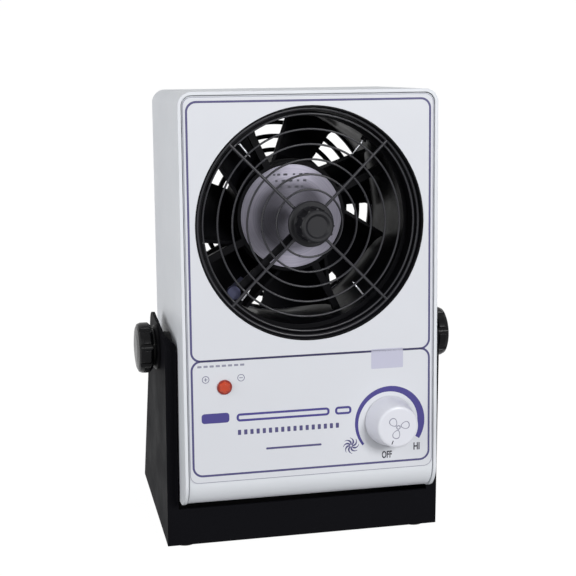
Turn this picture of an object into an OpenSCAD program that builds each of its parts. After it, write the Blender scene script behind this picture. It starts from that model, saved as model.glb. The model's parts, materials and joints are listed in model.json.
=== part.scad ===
// Benchtop ionizing blower: a leaning case with a fan, emitters and controls,
// clamped between the two arms of a pressed-steel stand.
// The stand is drawn upright. Case parts are drawn in the case's own space, with the
// front lip at y = 0 and the underside at z = 0, and in_case() leans them back.

/* [Case] */
// Room between the fan frame and each side of the case
side_room = 9; // [8:0.5:14]
// Room between the fan frame and the top of the case
top_room = 8.8; // [8:0.1:12]
// Height of the case
case_h = 216; // [214:1:240]
// Depth of the case
case_d = 83; // [80:1:100]
// Wall of the case sides, top and base
case_wall = 2; // [1.5:0.1:2.5]
// Radius of the two upper corners
corner_r = 7; // [5:0.5:10]
// Radius of the curved chin
chin_r = 15; // [12:0.5:18]
// Width of the lip that frames the front panel
lip_w = 1.7; // [1.4:0.1:2.2]
// Lean of the case in the stand, in degrees from upright
lean = 11.7; // [0:0.1:15]

/* [Front panel] */
// Depth of the front panel behind the lip
panel_recess = 0.6; // [0.4:0.1:1]
// Thickness of the front panel
panel_t = 2; // [1.6:0.1:2.4]
// Gap between the lip and the panel edge
panel_gap = 0.5; // [0.3:0.05:0.7]
// Width of the ledge that the panel rests on
ledge_w = 2.3; // [2:0.1:3]
// Thickness of the ledge
ledge_t = 2.5; // [2:0.1:3.5]
// Flat run of the panel under the chin
chin_run = 6; // [4:0.5:10]
// Thickness of the printed front overlay
overlay_t = 0.3; // [0.2:0.05:0.4]
// Margin between the panel edge and the overlay edge
overlay_gap = 0.3; // [0.2:0.05:0.6]
// Radius of the overlay's lower corners
overlay_r = 3; // [2:0.5:5]

/* [Outlet] */
// Widening of the front opening over the air duct, on the radius
outlet_flare = 3.4; // [3:0.1:4]
// Wall of the outlet funnel
funnel_wall = 1.8; // [1.4:0.1:2.2]
// Width of the funnel flange behind the panel
funnel_flange = 3; // [2:0.1:3.2]
// Thickness of the funnel flange
funnel_flange_t = 2; // [1.5:0.1:2.4]
// Depth at which the funnel has narrowed to the duct
funnel_depth = 16; // [14:0.5:18]

/* [Front grille] */
// Radius of the innermost grille ring
ring_first = 17.6; // [16:0.1:19]
// Spacing between grille rings
ring_pitch = 7.75; // [7:0.05:8]
// Number of grille rings inside the rim
ring_count = 6; // [4:1:6]
// Wire radius of the rings
ring_wire = 0.55; // [0.45:0.05:0.7]
// Wire radius of the spokes and the rim
spoke_wire = 0.8; // [0.6:0.05:1]
// Radius of the grille hub
grille_hub_r = 9; // [8:0.5:11]

/* [Emitters] */
// Angle of the emitter needles from the vertical
needle_spread = 39; // [30:1:50]
// Radius of a needle
needle_r = 0.6; // [0.4:0.05:0.8]
// Radius at which the needle points lie
needle_tip_r = 43.5; // [42:0.5:46]
// Length of a needle's tapering point
needle_point = 4; // [2:0.5:5]
// Radial depth of the emitter ring
emitter_ring_w = 2.4; // [2:0.1:3]
// Length of the emitter ring along the duct
emitter_ring_l = 6; // [5:0.5:8]

/* [Cleaner] */
// Radius of the cleaner knob's flange
cleaner_flange_r = 12; // [11:0.5:14]
// Radius of the cleaner knob's grip
cleaner_grip_r = 8.4; // [7:0.1:9]
// Length of the cleaner knob in front of the case lip
cleaner_out = 12.8; // [10:0.1:16]
// Radius of the cleaner shaft
cleaner_shaft_r = 3; // [2.5:0.1:3.5]

/* [Fan] */
// Width of the square fan frame
fan_w = 119; // [118:0.5:120]
// Depth of the fan frame
fan_d = 38; // [36:0.5:39]
// Thickness of the fan frame at the middle of each side
fan_side = 2.1; // [1.8:0.1:2.5]
// Distance of the fan's mounting holes from the edges of its frame
fan_hole_edge = 7; // [6.5:0.5:7.5]
// Radius of the fan's mounting holes
fan_hole_r = 2.15; // [2.1:0.05:2.4]
// Number of fan blades
blade_count = 7; // [5:1:8]
// Pitch of a blade from the plane of rotation
blade_pitch = 40; // [36:1:44]
// Chord of a blade
blade_chord = 46; // [42:1:48]
// Thickness of a blade
blade_t = 1.8; // [1.4:0.1:2.4]
// Radius of the rotor hub
hub_r = 31; // [29:0.5:32]
// Gap between the blade tips and the duct
tip_gap = 1.6; // [1.2:0.1:2]
// Radius of the fan shaft
fan_shaft_r = 2; // [1.5:0.1:2.5]

/* [Dial] */
// Distance of the speed dial from the side of the case
dial_in = 26.5; // [24:0.5:29]
// Height of the speed dial
dial_z = 41; // [40:0.5:44]
// Radius of the dial at its base
dial_base_r = 13.5; // [12.5:0.1:14.5]
// Radius of the dial's front face
dial_face_r = 11.2; // [10:0.1:12]
// Length of the dial
dial_len = 15; // [13:0.5:17]
// Radius of the potentiometer shaft
pot_shaft_r = 3; // [2.8:0.1:3.2]

/* [Indicator] */
// Distance of the indicator from the side of the case
lamp_in = 21.4; // [18:0.1:25]
// Height of the indicator
lamp_z = 65; // [62:0.5:68]
// Radius of the indicator lens
lamp_r = 4; // [3:0.1:5]

/* [Stand] */
// Gap between the case and each arm
stand_gap = 5.3; // [5:0.1:7]
// Depth of the stand at the floor
stand_d = 85; // [80:1:100]
// Sheet thickness of the stand
stand_t = 1.5; // [1.2:0.1:2]
// Width of the flange round each arm
flange_w = 6; // [4:0.5:6]
// Radius of the rounded top of each arm
arm_r = 24.5; // [22:0.5:28]
// Rise of the arm above the pivot
arm_rise = 16; // [14:0.5:20]
// Height of the upright case's underside above the floor
case_lift = 20.2; // [19:0.1:30]
// Height of the front wall of the tray
wall_h = 20; // [12:0.5:20]
// Height of the rear lip of the tray
rear_lip_h = 8; // [5:0.5:9]
// Height of a rubber foot
foot_h = 2; // [1.5:0.1:4]
// Radius of a rubber foot
foot_r = 8; // [6:0.5:9]

/* [Side knobs] */
// Drop of the pivot below the fan frame
pivot_drop = 8.2; // [8:0.1:10]
// Radius of the clamp studs
stud_r = 3; // [2.5:0.1:3.5]
// Radius of the side knobs over their lobes
knob_r = 13.6; // [12:0.1:15]
// Number of lobes on a side knob
lobe_count = 8; // [6:1:10]
// Length of a side knob's grip
knob_len = 8.2; // [7:0.1:10]
// Radius of the pressure discs
disc_r = 18; // [15:0.5:20]
// Thickness of the pressure discs
disc_t = 2; // [1.5:0.1:3]
// Radius of the spacers
spacer_r = 13; // [10:0.5:13.5]

/* [Rear] */
// Thickness of the rear panel
rear_t = 1.5; // [1.2:0.1:2]
// Depth of the rear panel inside the case edge
rear_recess = 0.8; // [0.5:0.1:1.5]
// Sideways place of the mains inlet, left of the middle
inlet_x = 28; // [24:1:32]
// Height of the mains inlet and the ground post
rear_z = 42; // [38:1:46]
// Sideways place of the ground post
post_x = 34; // [28:1:40]
// Radius of the ground post outside its nut
post_r = 2; // [1.8:0.1:2.5]

/* [Hidden] */
$fn = 72;

slip = 0.05;                 // clearance between parts that slide in or seat
run_fit = 0.04;              // radial clearance of a shaft that turns
cut = 1;                     // how far a cutter runs past a face
black = [0.09, 0.09, 0.10];
white = [0.92, 0.92, 0.94];
lilac = [0.87, 0.88, 0.94];

// Sizes that follow from the fan
case_w = fan_w + 2 * side_room;
side_x = case_w / 2;
fan_z = case_h - top_room - fan_w / 2;
fan_hole_pitch = fan_w - 2 * fan_hole_edge;
duct_r = fan_w / 2 - fan_side;
outlet_r = duct_r + outlet_flare;
pivot_h = fan_z - fan_w / 2 - pivot_drop;
pivot_z = pivot_h + case_lift;
stand_w = case_w + 2 * (stand_gap + stand_t);
dial_x = side_x - dial_in;
lamp_x = side_x - lamp_in;

// Front panel and its neighbours, as depths behind the lip
pocket = panel_recess + panel_t;
panel_edge = lip_w + panel_gap;
overlay_edge = panel_edge + overlay_gap;
overlay_z = chin_r - 0.4;
overlay_y = panel_recess - overlay_t;
chin_end = chin_r + chin_run;
open_edge = lip_w + ledge_w;

// Rear panel and fan, as depths behind the lip
rear_out = case_d - rear_recess;
rear_in = rear_out - rear_t;
fan_back = rear_in;
fan_front = fan_back - fan_d;

// Grille and duct
grille_y = 4;
step_y = grille_y + spoke_wire;
funnel_front_r = outlet_r - slip;
rim_wall = 0.8;
rim_r = funnel_front_r - rim_wall - spoke_wire - slip;
emitter_y = funnel_depth + 0.3;
emitter_out_r = duct_r - slip;
emitter_in_r = emitter_out_r - emitter_ring_w;
needle_y = emitter_y + emitter_ring_l / 2;
sleeve_l = 2;
sleeve_wall = 1.1;
bus_y = emitter_y + emitter_ring_l;
bus_t = 1;

// Cleaner
cleaner_bush_r = cleaner_shaft_r + 2.5;
cleaner_flange_t = 2.2;
cleaner_flange_y = grille_y - spoke_wire - cleaner_flange_t - 1;
bush_l = 6;
arm_y = grille_y - spoke_wire + bush_l + 0.3;
arm_t = 2;
arm_w = 3.4;
arm_hub_r = cleaner_shaft_r + 3;
arm_turn = 222;
brush_cap_r = 3.5;
brush_cap_t = 3.3;
brush_cap_at = emitter_in_r - 2;
arm_reach_r = brush_cap_at - brush_cap_r - slip;
brush_w = 3.5;
brush_back = needle_y - needle_r - 0.4;

// Fan
fan_flange_t = 4;
fan_corner_r = 4;
fan_tube_wall = 1.9;
base_r = 30;
base_t = 2.5;
strut_w = 4;
strut_count = 4;
strut_turn = 26;
strut_end = sqrt(pow(duct_r - slip / 5, 2) - pow(strut_w / 2, 2));
strut_t = 3.3;
rotor_turn = 24;
fan_screw_r = fan_hole_r - 0.2;
fan_nut_r = 4;
fan_nut_t = 3.2;
bearing_wall = 1.5;
bearing_l = 3;
tube_r = fan_shaft_r + bearing_wall + 1.6;
rotor_front = fan_front + base_t + 2.3;
rotor_back = fan_back - 3;
cup_t = 2.5;
cup_r = hub_r - 3;
blade_out_r = duct_r - tip_gap;
blade_bend_r = 60;
collar_r = fan_shaft_r + 3;
collar_l = 5;
tube_back = rotor_back - cup_t - collar_l - 2;
shaft_skin = 1;
stator_r = cup_r - 4;
stator_gap = 3;
stator_slots = 8;
slot_w = 2;

// Pivot hardware, as distances from the middle
stand_x = stand_w / 2;
arm_in_x = stand_x - stand_t;
disc_out_x = stand_x + disc_t;
knob_neck = 1.5;
knob_in_x = disc_out_x + knob_neck;
knob_out_x = knob_in_x + knob_len;
insert_r = stud_r + 2;
insert_l = 12;
boss_r = insert_r + 2.5;
stud_tip_x = side_x - insert_l + 1;
stud_end_x = knob_in_x + knob_len / 2;
tilt_hole_r = stud_r + run_fit;

// Stand side outline: a trapezium whose edges run tangent to the round top
foot_z = foot_h;
arm_cz = pivot_z + arm_rise - arm_r;
arm_reach = sqrt(pow(stand_d / 2, 2) + pow(arm_cz - foot_z, 2));
arm_slope = acos(arm_r / arm_reach) - atan2(arm_cz - foot_z, stand_d / 2);
foot_in = 2.5;

// Controls behind the front panel
board_y = 12;
board_t = 1.6;
board_x = 8;
board_w = 54;
board_z = 20;
board_h = 44;
post_inset = 6;
board_post_r = 3;
screw_r = 1.25;
screw_head_r = 2.5;
screw_head_t = 1.6;
pot_r = 8.5;
pot_y = pocket + 1.4;
bushing_r = pot_shaft_r + 0.7;
nut_t = 2;
nut_r = 5.6;
dial_gap = 0.4;
dial_back_y = overlay_y - dial_gap;
dial_front_y = dial_back_y - dial_len;
dial_wall = 2;
dial_boss_r = pot_shaft_r + 2.2;
dial_edge = 1.3;
dial_face_t = 2.5;
shaft_front_y = dial_front_y + dial_face_t;
lamp_stem_r = lamp_r - 0.6;
lamp_body_r = lamp_r + 1.5;
lamp_body_l = 12;
lamp_stem_y = pocket + 2;

// Mains inlet and ground post on the rear panel
inlet_w = 27.2;
inlet_h = 19.6;
inlet_depth = 20;
inlet_flange_w = 50;
inlet_flange_h = 23;
inlet_flange_t = 2.5;
inlet_pitch = 40;
recess_w = 24.2;
recess_h = 16.6;
recess_depth = 16;
inlet_corner = 3;
pin_w = 2;
pin_h = 4;
pin_pitch = 7;
pin_drop = 3;
pin_back = 24;
m3_r = 1.5;
post_out = 9;
post_root_r = post_r + 0.3;
post_nut_r = 4.2;
post_nut_t = 3.2;
rear_boss_r = 3.3;
rear_boss_l = 10;
guard_t = 2;
guard_bar = 2.4;
guard_eye_r = 5;
guard_first = 18.4;
guard_pitch = 7.7;
guard_rings = 7;
guard_turn = 68;
guard_sink = 0.3;
guard_last = guard_first + (guard_rings - 1) * guard_pitch;
fan_head_r = guard_eye_r - 1;
fan_head_t = 2.2;

// High-voltage module on the floor of the case
hv_w = 46;
hv_d = 30;
hv_h = 26;
hv_x = -60;
hv_y = chin_end - 4;
hv_tower_r = 4;
hv_tower_h = 5;
lead_r = 1.5;
lead_x = 36;
bus_mid = bus_y + bus_t / 2;

// Half of the object's depth is kept each side of y = 0
front_y = local_y(dial_front_y, dial_z - dial_face_r + dial_edge);
top_y = local_y(rear_out + guard_t + fan_head_t,
  fan_z + fan_hole_pitch / 2 + 0.7 * fan_head_r);
pivot_y = -(front_y + top_y) / 2;
// A case point's depth in the leaning frame, measured from the pivot
function local_y(y, z) = (y - case_d / 2) * cos(lean) + (z - pivot_h) * sin(lean);

// ---- placing and drawing helpers ----

module in_case() {
  translate([0, pivot_y, pivot_z]) rotate([-lean, 0, 0])
    translate([0, -case_d / 2, -pivot_h]) children();
}

module at_fan() {
  in_case() translate([0, 0, fan_z]) children();
}

module at_pivot() {
  translate([0, pivot_y, pivot_z]) children();
}

// An outline in x and z, drawn out from y0 to y1
module along_y(y0, y1) {
  translate([0, y1, 0]) rotate([90, 0, 0]) linear_extrude(y1 - y0) children();
}

// An outline in y and z, drawn out from x0 to x1
module along_x(x0, x1) {
  translate([x0, 0, 0]) rotate([90, 0, 90]) linear_extrude(x1 - x0) children();
}

module rod_y(r, y0, y1, n = $fn) {
  translate([0, y0, 0]) rotate([-90, 0, 0]) cylinder(r = r, h = y1 - y0, $fn = n);
}

module rod_x(r, x0, x1) {
  translate([x0, 0, 0]) rotate([0, 90, 0]) cylinder(r = r, h = x1 - x0);
}

// A profile of [radius, depth] points turned about the y axis
module turn_y() {
  rotate([-90, 0, 0]) rotate_extrude() children();
}

module tube_y(r_out, r_in, y0, y1) {
  turn_y() translate([r_in, y0]) square([r_out - r_in, y1 - y0]);
}

module wire_ring(r, wire, y) {
  turn_y() translate([r, y]) circle(wire, $fn = 16);
}

module round_rect(w, h, r) {
  square([w - 2 * r, h], center = true);
  square([w, h - 2 * r], center = true);
  for (sx = [-1, 1], sz = [-1, 1])
    translate([sx * (w / 2 - r), sz * (h / 2 - r)]) circle(r);
}

// Case outline seen from the front, inset on the sides and top
module arch(inset, z0) {
  half = case_w / 2 - inset;
  top = case_h - inset;
  r = corner_r - min(inset, corner_r - 1);
  translate([-half, z0]) square([2 * half, top - r - z0]);
  translate([r - half, z0]) square([2 * (half - r), top - z0]);
  for (s = [-1, 1]) translate([s * (half - r), top - r]) circle(r);
}

// Case outline seen from the side, inset at the front and underneath
module chin(inset) {
  back = case_d + cut;
  top = case_h + cut;
  translate([chin_r, inset]) square([back - chin_r, top - inset]);
  translate([inset, chin_r]) square([back - inset, top - chin_r]);
  translate([chin_r, chin_r]) circle(chin_r - inset);
}

module chin_solid(inset) {
  along_x(-case_w, case_w) chin(inset);
}

module pan_screw(x, z, y_head, y_tip, r, head_r, head_t) {
  translate([x, 0, z]) {
    rod_y(r, y_tip, y_head);
    turn_y() polygon([[0, y_head], [head_r, y_head], [head_r, y_head + head_t * 0.4],
      [head_r * 0.7, y_head + head_t], [0, y_head + head_t]]);
  }
}

// ---- stand ----

// Half width of the arm at height z, inside a sheet of the given thickness
function arm_half(z, inset) =
  (arm_r - inset - (z - arm_cz) * sin(arm_slope)) / cos(arm_slope);

module arm_outline(inset) {
  low = foot_z + inset;
  tx = (arm_r - inset) * cos(arm_slope);
  tz = arm_cz + (arm_r - inset) * sin(arm_slope);
  polygon([[-arm_half(low, inset), low], [arm_half(low, inset), low], [tx, tz], [-tx, tz]]);
  translate([0, arm_cz]) circle(arm_r - inset);
}

module arm_plate(s) {
  mirror([s < 0 ? 1 : 0, 0, 0]) {
    along_x(arm_in_x, stand_x) arm_outline(0);
    difference() {
      along_x(stand_x - flange_w, stand_x) arm_outline(0);
      along_x(stand_x - flange_w - cut, arm_in_x) arm_outline(stand_t);
    }
  }
}

module stand_bracket() {
  color(black) translate([0, pivot_y, 0]) difference() {
    union() {
      for (s = [-1, 1]) arm_plate(s);
      intersection() {
        difference() {
          along_x(-stand_x, stand_x) arm_outline(0);
          along_x(-stand_x - cut, stand_x + cut) arm_outline(stand_t);
        }
        union() {
          translate([-stand_x, -stand_d, 0]) cube([stand_w, stand_d, foot_z + wall_h]);
          translate([-stand_x, 0, 0]) cube([stand_w, stand_d, foot_z + rear_lip_h]);
        }
      }
    }
    translate([0, 0, pivot_z]) rod_x(tilt_hole_r, -stand_w, stand_w);
  }
}

module foot_pads() {
  color(black) for (sx = [-1, 1], sy = [-1, 1])
    translate([sx * (stand_x - foot_r - foot_in),
        pivot_y + sy * (stand_d / 2 - foot_r - foot_in), 0])
      rotate_extrude() polygon([[0, 0], [foot_r - 0.6, 0], [foot_r, foot_h], [0, foot_h]]);
}

// ---- pivot hardware, drawn for the right side and mirrored for the left ----

module on_side(s) {
  at_pivot() mirror([s < 0 ? 1 : 0, 0, 0]) children();
}

module spacer(s) {
  color(black) on_side(s) difference() {
    rod_x(spacer_r, side_x, arm_in_x);
    rod_x(stud_r + 0.2, side_x - cut, stand_x);
  }
}

module disc(s) {
  color(black) on_side(s) difference() {
    rotate([0, 90, 0]) translate([0, 0, stand_x]) rotate_extrude()
      polygon([[0, 0], [disc_r, 0], [disc_r, disc_t * 0.4], [disc_r - 1, disc_t],
        [0, disc_t]]);
    rod_x(stud_r + slip, stand_x - cut, disc_out_x + cut);
  }
}

module lobes() {
  groove_r = PI * knob_r / lobe_count * 0.42;
  difference() {
    circle(knob_r);
    for (i = [0 : lobe_count - 1]) rotate((i + 0.5) * 360 / lobe_count)
      translate([knob_r + groove_r * 0.45, 0]) circle(groove_r);
  }
}

module knob(s) {
  edge = 1.6;
  color(black) on_side(s) difference() {
    union() {
      rod_x(knob_r * 0.74, disc_out_x, knob_in_x + edge);
      rotate([0, 90, 0]) translate([0, 0, knob_in_x]) intersection() {
        linear_extrude(knob_len) lobes();
        rotate_extrude() {
          polygon([[0, 0], [knob_r - edge, 0], [knob_r, edge], [knob_r, knob_len - 2 * edge],
            [knob_r - 0.5 * edge, knob_len - 0.85 * edge], [knob_r - 1.4 * edge,
            knob_len - 0.4 * edge], [knob_r * 0.5, knob_len], [0, knob_len]]);
        }
      }
    }
    rod_x(stud_r + slip, stand_x, stud_end_x + slip);
  }
}

module stud(s) {
  color("silver") on_side(s) rod_x(stud_r, stud_tip_x, stud_end_x);
}

module insert(s) {
  color("goldenrod") on_side(s) difference() {
    rod_x(insert_r, side_x - insert_l, side_x);
    rod_x(stud_r + run_fit, side_x - insert_l - cut, side_x + cut);
  }
}

// ---- case ----

module case_shell() {
  color(white) in_case() difference() {
    union() {
      difference() {
        intersection() {
          along_y(0, case_d) arch(0, 0);
          chin_solid(0);
        }
        // pocket for the front panel, round the chin and under it
        intersection() {
          along_y(-cut, chin_end) arch(lip_w, -cut);
          difference() {
            chin_solid(-cut);
            chin_solid(pocket);
          }
        }
        intersection() {
          along_y(0, case_d + cut) arch(open_edge, 0);
          chin_solid(pocket - slip / 5);
        }
        intersection() {
          along_y(0, case_d + cut) arch(case_wall, 0);
          chin_solid(pocket + ledge_t);
        }
      }
      for (s = [-1, 1]) {
        translate([s * side_x, case_d / 2, pivot_h]) mirror([s < 0 ? 1 : 0, 0, 0])
          rod_x(boss_r, -insert_l, -case_wall + slip);
        for (z = rear_screw_z()) translate([s * rear_screw_x(), 0, z])
          rod_y(rear_boss_r, rear_in - rear_boss_l, rear_in - slip);
      }
    }
    for (s = [-1, 1]) {
      translate([s * side_x, case_d / 2, pivot_h]) mirror([s < 0 ? 1 : 0, 0, 0])
        rod_x(insert_r + slip, -insert_l - cut, cut);
      for (z = rear_screw_z()) translate([s * rear_screw_x(), 0, z])
        rod_y(screw_r + slip, rear_in - rear_boss_l + cut, rear_in + cut);
    }
  }
}

function rear_screw_x() = side_x - case_wall - rear_boss_r + 0.1;
function rear_screw_z() = [12, case_h - 12];

module front_panel() {
  color(lilac) in_case() difference() {
    union() {
      intersection() {
        along_y(0, chin_end - panel_gap) arch(panel_edge, 0);
        difference() {
          chin_solid(panel_recess);
          chin_solid(pocket - slip);
        }
      }
      for (z = board_post_z()) translate([board_x + post_inset, 0, z])
        rod_y(board_post_r, pocket - slip * 2, board_y);
    }
    translate([0, 0, fan_z]) rod_y(outlet_r, -cut, pocket + cut);
    translate([dial_x, 0, dial_z]) rod_y(bushing_r + slip, -cut, pocket + cut);
    translate([-lamp_x, 0, lamp_z]) rod_y(lamp_stem_r + slip, -cut, pocket + cut);
    for (z = board_post_z()) translate([board_x + post_inset, 0, z])
      rod_y(screw_r + slip, pocket, board_y + cut);
  }
}

function board_post_z() = [board_z + post_inset, board_z + board_h - post_inset];

module front_overlay() {
  color(lilac) in_case() difference() {
    along_y(overlay_y, panel_recess) intersection() {
      arch(overlay_edge, 0);
      translate([0, overlay_z + case_h / 2])
        round_rect(case_w - 2 * overlay_edge, case_h, overlay_r);
    }
    translate([0, 0, fan_z]) rod_y(outlet_r, -cut, pocket);
    translate([dial_x, 0, dial_z]) rod_y(bushing_r + slip, -cut, pocket);
    translate([-lamp_x, 0, lamp_z]) rod_y(lamp_stem_r + slip, -cut, pocket);
  }
}

module rear_panel() {
  edge = case_wall + slip;
  color("gainsboro") in_case() difference() {
    along_y(rear_in, rear_out) arch(edge, pocket + ledge_t + slip);
    translate([0, 0, fan_z]) rod_y(duct_r, 0, case_d + cut);
    translate([-inlet_x, 0, rear_z]) along_y(0, case_d + cut)
      round_rect(inlet_w + 0.4, inlet_h + 0.4, inlet_corner);
    for (sx = [-1, 1]) {
      translate([-inlet_x + sx * inlet_pitch / 2, 0, rear_z]) rod_y(m3_r + 0.1, 0, case_d + cut);
      for (sz = [-1, 1]) translate([sx * fan_hole_pitch / 2, 0, fan_z + sz * fan_hole_pitch / 2])
        rod_y(fan_hole_r, 0, case_d + cut);
      for (z = rear_screw_z()) translate([sx * rear_screw_x(), 0, z])
        rod_y(screw_r + 0.15, 0, case_d + cut);
    }
    translate([post_x, 0, rear_z]) rod_y(post_root_r + slip, 0, case_d + cut);
  }
}

module panel_screws() {
  color("silver") in_case() for (s = [-1, 1], z = rear_screw_z())
    pan_screw(s * rear_screw_x(), z, rear_out, rear_in - rear_boss_l + 2, screw_r,
      screw_head_r, screw_head_t);
}

// ---- outlet ----

// Inner radius of the funnel, narrowing along an ellipse from the step to the duct
function funnel_in(t) = duct_r + (rim_r - spoke_wire - duct_r) * (1 - sin(90 * t));
function funnel_y(t) = step_y + (funnel_depth - step_y) * (1 - cos(90 * t));

module funnel_ring() {
  steps = 8;
  flange_r = outlet_r + funnel_flange;
  inner = [for (i = [0 : steps]) [funnel_in(i / steps), funnel_y(i / steps)]];
  neck_r = duct_r + funnel_wall;
  color(black) at_fan() difference() {
    turn_y() polygon(concat(
      [[funnel_front_r, overlay_y], [funnel_front_r - rim_wall, overlay_y],
        [funnel_front_r - rim_wall, step_y]],
      inner,
      [[duct_r, fan_front - slip], [neck_r, fan_front - slip], [neck_r, funnel_depth + 4],
        [flange_r, pocket + funnel_flange_t], [flange_r, pocket + slip],
        [funnel_front_r, pocket + slip]]));
    translate([-lead_x, bus_mid, -duct_r - funnel_wall]) cylinder(r = lead_r + slip, h = duct_r);
  }
}

module each_needle() {
  for (up = [90, 270], s = [-1, 1]) rotate([0, -up - s * needle_spread, 0])
    translate([0, needle_y, 0]) children();
}

module emitter_ring() {
  color(black) at_fan() difference() {
    union() {
      tube_y(emitter_out_r, emitter_in_r, emitter_y, emitter_y + emitter_ring_l);
      each_needle() rod_x(needle_r + sleeve_wall, emitter_in_r - sleeve_l, emitter_in_r + 0.5);
    }
    each_needle() rod_x(needle_r + slip / 2, emitter_in_r - sleeve_l - cut, duct_r + cut);
  }
}

module emitter_needles() {
  color("silver") at_fan() each_needle() {
    rod_x(needle_r, needle_tip_r + needle_point, emitter_out_r);
    translate([needle_tip_r, 0, 0]) rotate([0, 90, 0])
      cylinder(r1 = 0.08, r2 = needle_r, h = needle_point);
  }
}

module bus_ring() {
  color("goldenrod") at_fan()
    tube_y(emitter_out_r, emitter_in_r + 0.4, bus_y, bus_y + bus_t);
}

module front_grille() {
  color(black) at_fan() difference() {
    union() {
      for (i = [0 : ring_count - 1]) wire_ring(ring_first + i * ring_pitch, ring_wire, grille_y);
      wire_ring(rim_r, spoke_wire, grille_y);
      for (a = [45 : 90 : 315]) rotate([0, a, 0]) translate([0, grille_y, 0])
        rod_x(spoke_wire, cleaner_bush_r + cut, rim_r);
      rod_y(grille_hub_r, grille_y - spoke_wire, grille_y + 2 * spoke_wire);
    }
    rod_y(cleaner_bush_r, 0, grille_y * 2);
  }
}

module cleaner_bush() {
  color("ivory") at_fan()
    tube_y(cleaner_bush_r - slip / 2, cleaner_shaft_r + run_fit, grille_y - spoke_wire,
      grille_y - spoke_wire + bush_l);
}

module cleaner_knob() {
  y1 = -cleaner_out;
  yf = cleaner_flange_y;
  r = cleaner_grip_r;
  dish = 1.2;
  color(black) at_fan() difference() {
    union() {
      turn_y() polygon([[0, yf + cleaner_flange_t], [cleaner_flange_r, yf + cleaner_flange_t],
        [cleaner_flange_r, yf + 0.6], [cleaner_flange_r - 0.8, yf], [r + 1, yf], [r, yf - 1.5],
        [r, y1 + 1], [r - 0.8, y1], [r - 2, y1], [r - 3.2, y1 + dish], [0, y1 + dish]]);
      for (i = [0 : 11]) rotate([0, i * 30, 0]) translate([r, 0, 0]) rod_y(0.7, y1 + 1.4, yf);
    }
    rod_y(cleaner_shaft_r + slip / 5, y1 + dish + 1.4, case_d);
  }
}

module cleaner_shaft() {
  color("silver") at_fan()
    rod_y(cleaner_shaft_r, -cleaner_out + 1.2 + 1.6, arm_y + arm_t + 2);
}

module cleaner_arm() {
  color(black) at_fan() difference() {
    union() {
      rod_y(arm_hub_r, arm_y, arm_y + arm_t + 1.5);
      rotate([0, -arm_turn, 0]) translate([0, arm_y, -arm_w / 2])
        cube([arm_reach_r, arm_t, arm_w]);
    }
    rod_y(cleaner_shaft_r + slip / 5, 0, case_d);
  }
}

// A round cap at the arm's end, with a tuft behind it that sweeps across the needles
module cleaner_brush() {
  color("slateblue") at_fan() rotate([0, -arm_turn, 0]) {
    translate([brush_cap_at, 0, 0]) rod_y(brush_cap_r, arm_y, arm_y + brush_cap_t);
    translate([needle_tip_r + 0.5, arm_y + arm_t, -brush_w / 2])
      cube([brush_cap_at - needle_tip_r - 0.5, brush_back - arm_y - arm_t, brush_w]);
  }
}

// ---- fan ----

module fan_square(y0, y1) {
  along_y(y0, y1) round_rect(fan_w, fan_w, fan_corner_r);
}

module fan_frame() {
  color(black) at_fan() difference() {
    union() {
      fan_square(fan_front, fan_front + fan_flange_t);
      fan_square(fan_back - fan_flange_t, fan_back);
      rod_y(duct_r + fan_tube_wall, fan_front, fan_back);
    }
    rod_y(duct_r, fan_front - cut, fan_back + cut);
    each_fan_hole() rod_y(fan_hole_r, 0, case_d);
  }
}

// The motor's base and bearing tube, held in the duct by the struts
module fan_spider() {
  color(black) at_fan() difference() {
    union() {
      rod_y(base_r, fan_front, fan_front + base_t);
      rod_y(tube_r, fan_front, tube_back);
      for (i = [0 : strut_count - 1]) rotate([0, -strut_turn - i * 360 / strut_count, 0])
        translate([base_r - 1, fan_front, -strut_w / 2])
          cube([strut_end - base_r + 1, strut_t, strut_w]);
    }
    rod_y(fan_shaft_r + bearing_wall, fan_front + base_t + cut, tube_back + cut);
  }
}

module fan_stator() {
  y0 = rotor_front + stator_gap;
  y1 = tube_back - stator_gap;
  color("sienna") at_fan() difference() {
    rod_y(stator_r, y0, y1);
    rod_y(tube_r + slip, 0, case_d);
    for (i = [0 : stator_slots - 1]) rotate([0, i * 360 / stator_slots, 0])
      translate([stator_r * 0.65, y0 - cut, -slot_w / 2])
        cube([stator_r, y1 - y0 + 2 * cut, slot_w]);
  }
}

module fan_bearings() {
  color("silver") at_fan() for (y = [fan_front + base_t + 2, tube_back - bearing_l])
    tube_y(fan_shaft_r + bearing_wall, fan_shaft_r + run_fit, y, y + bearing_l);
}

// A cambered plate along x: an arc in the plane of depth and turn, cut to the chord
module blade_plate() {
  mid_y = (rotor_front + rotor_back) / 2;
  bulge = sqrt(pow(blade_bend_r, 2) - pow(blade_chord / 2, 2));
  translate([0, mid_y, 0]) rotate([blade_pitch, 0, 0])
    along_x(hub_r * 0.7, duct_r) intersection() {
      translate([-bulge, 0]) difference() {
        circle(blade_bend_r + blade_t / 2);
        circle(blade_bend_r - blade_t / 2);
      }
      translate([-blade_bend_r / 2, -blade_chord / 2]) square([blade_bend_r, blade_chord]);
    }
}

module fan_rotor() {
  color(black) at_fan() difference() {
    union() {
      rod_y(hub_r, rotor_front, rotor_back);
      intersection() {
        for (i = [0 : blade_count - 1])
          rotate([0, -rotor_turn - i * 360 / blade_count, 0]) blade_plate();
        tube_y(blade_out_r, hub_r - 1, rotor_front, rotor_back);
      }
    }
    rod_y(cup_r, rotor_front - cut, rotor_back - cup_t);
    rod_y(fan_shaft_r + slip / 5, 0, rotor_back - shaft_skin);
  }
}

module fan_shaft() {
  color("silver") at_fan() {
    rod_y(fan_shaft_r, fan_front + base_t + bearing_wall, rotor_back - shaft_skin - 2 * slip);
    rod_y(collar_r, rotor_back - cup_t - collar_l, rotor_back - cup_t);
  }
}

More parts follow.
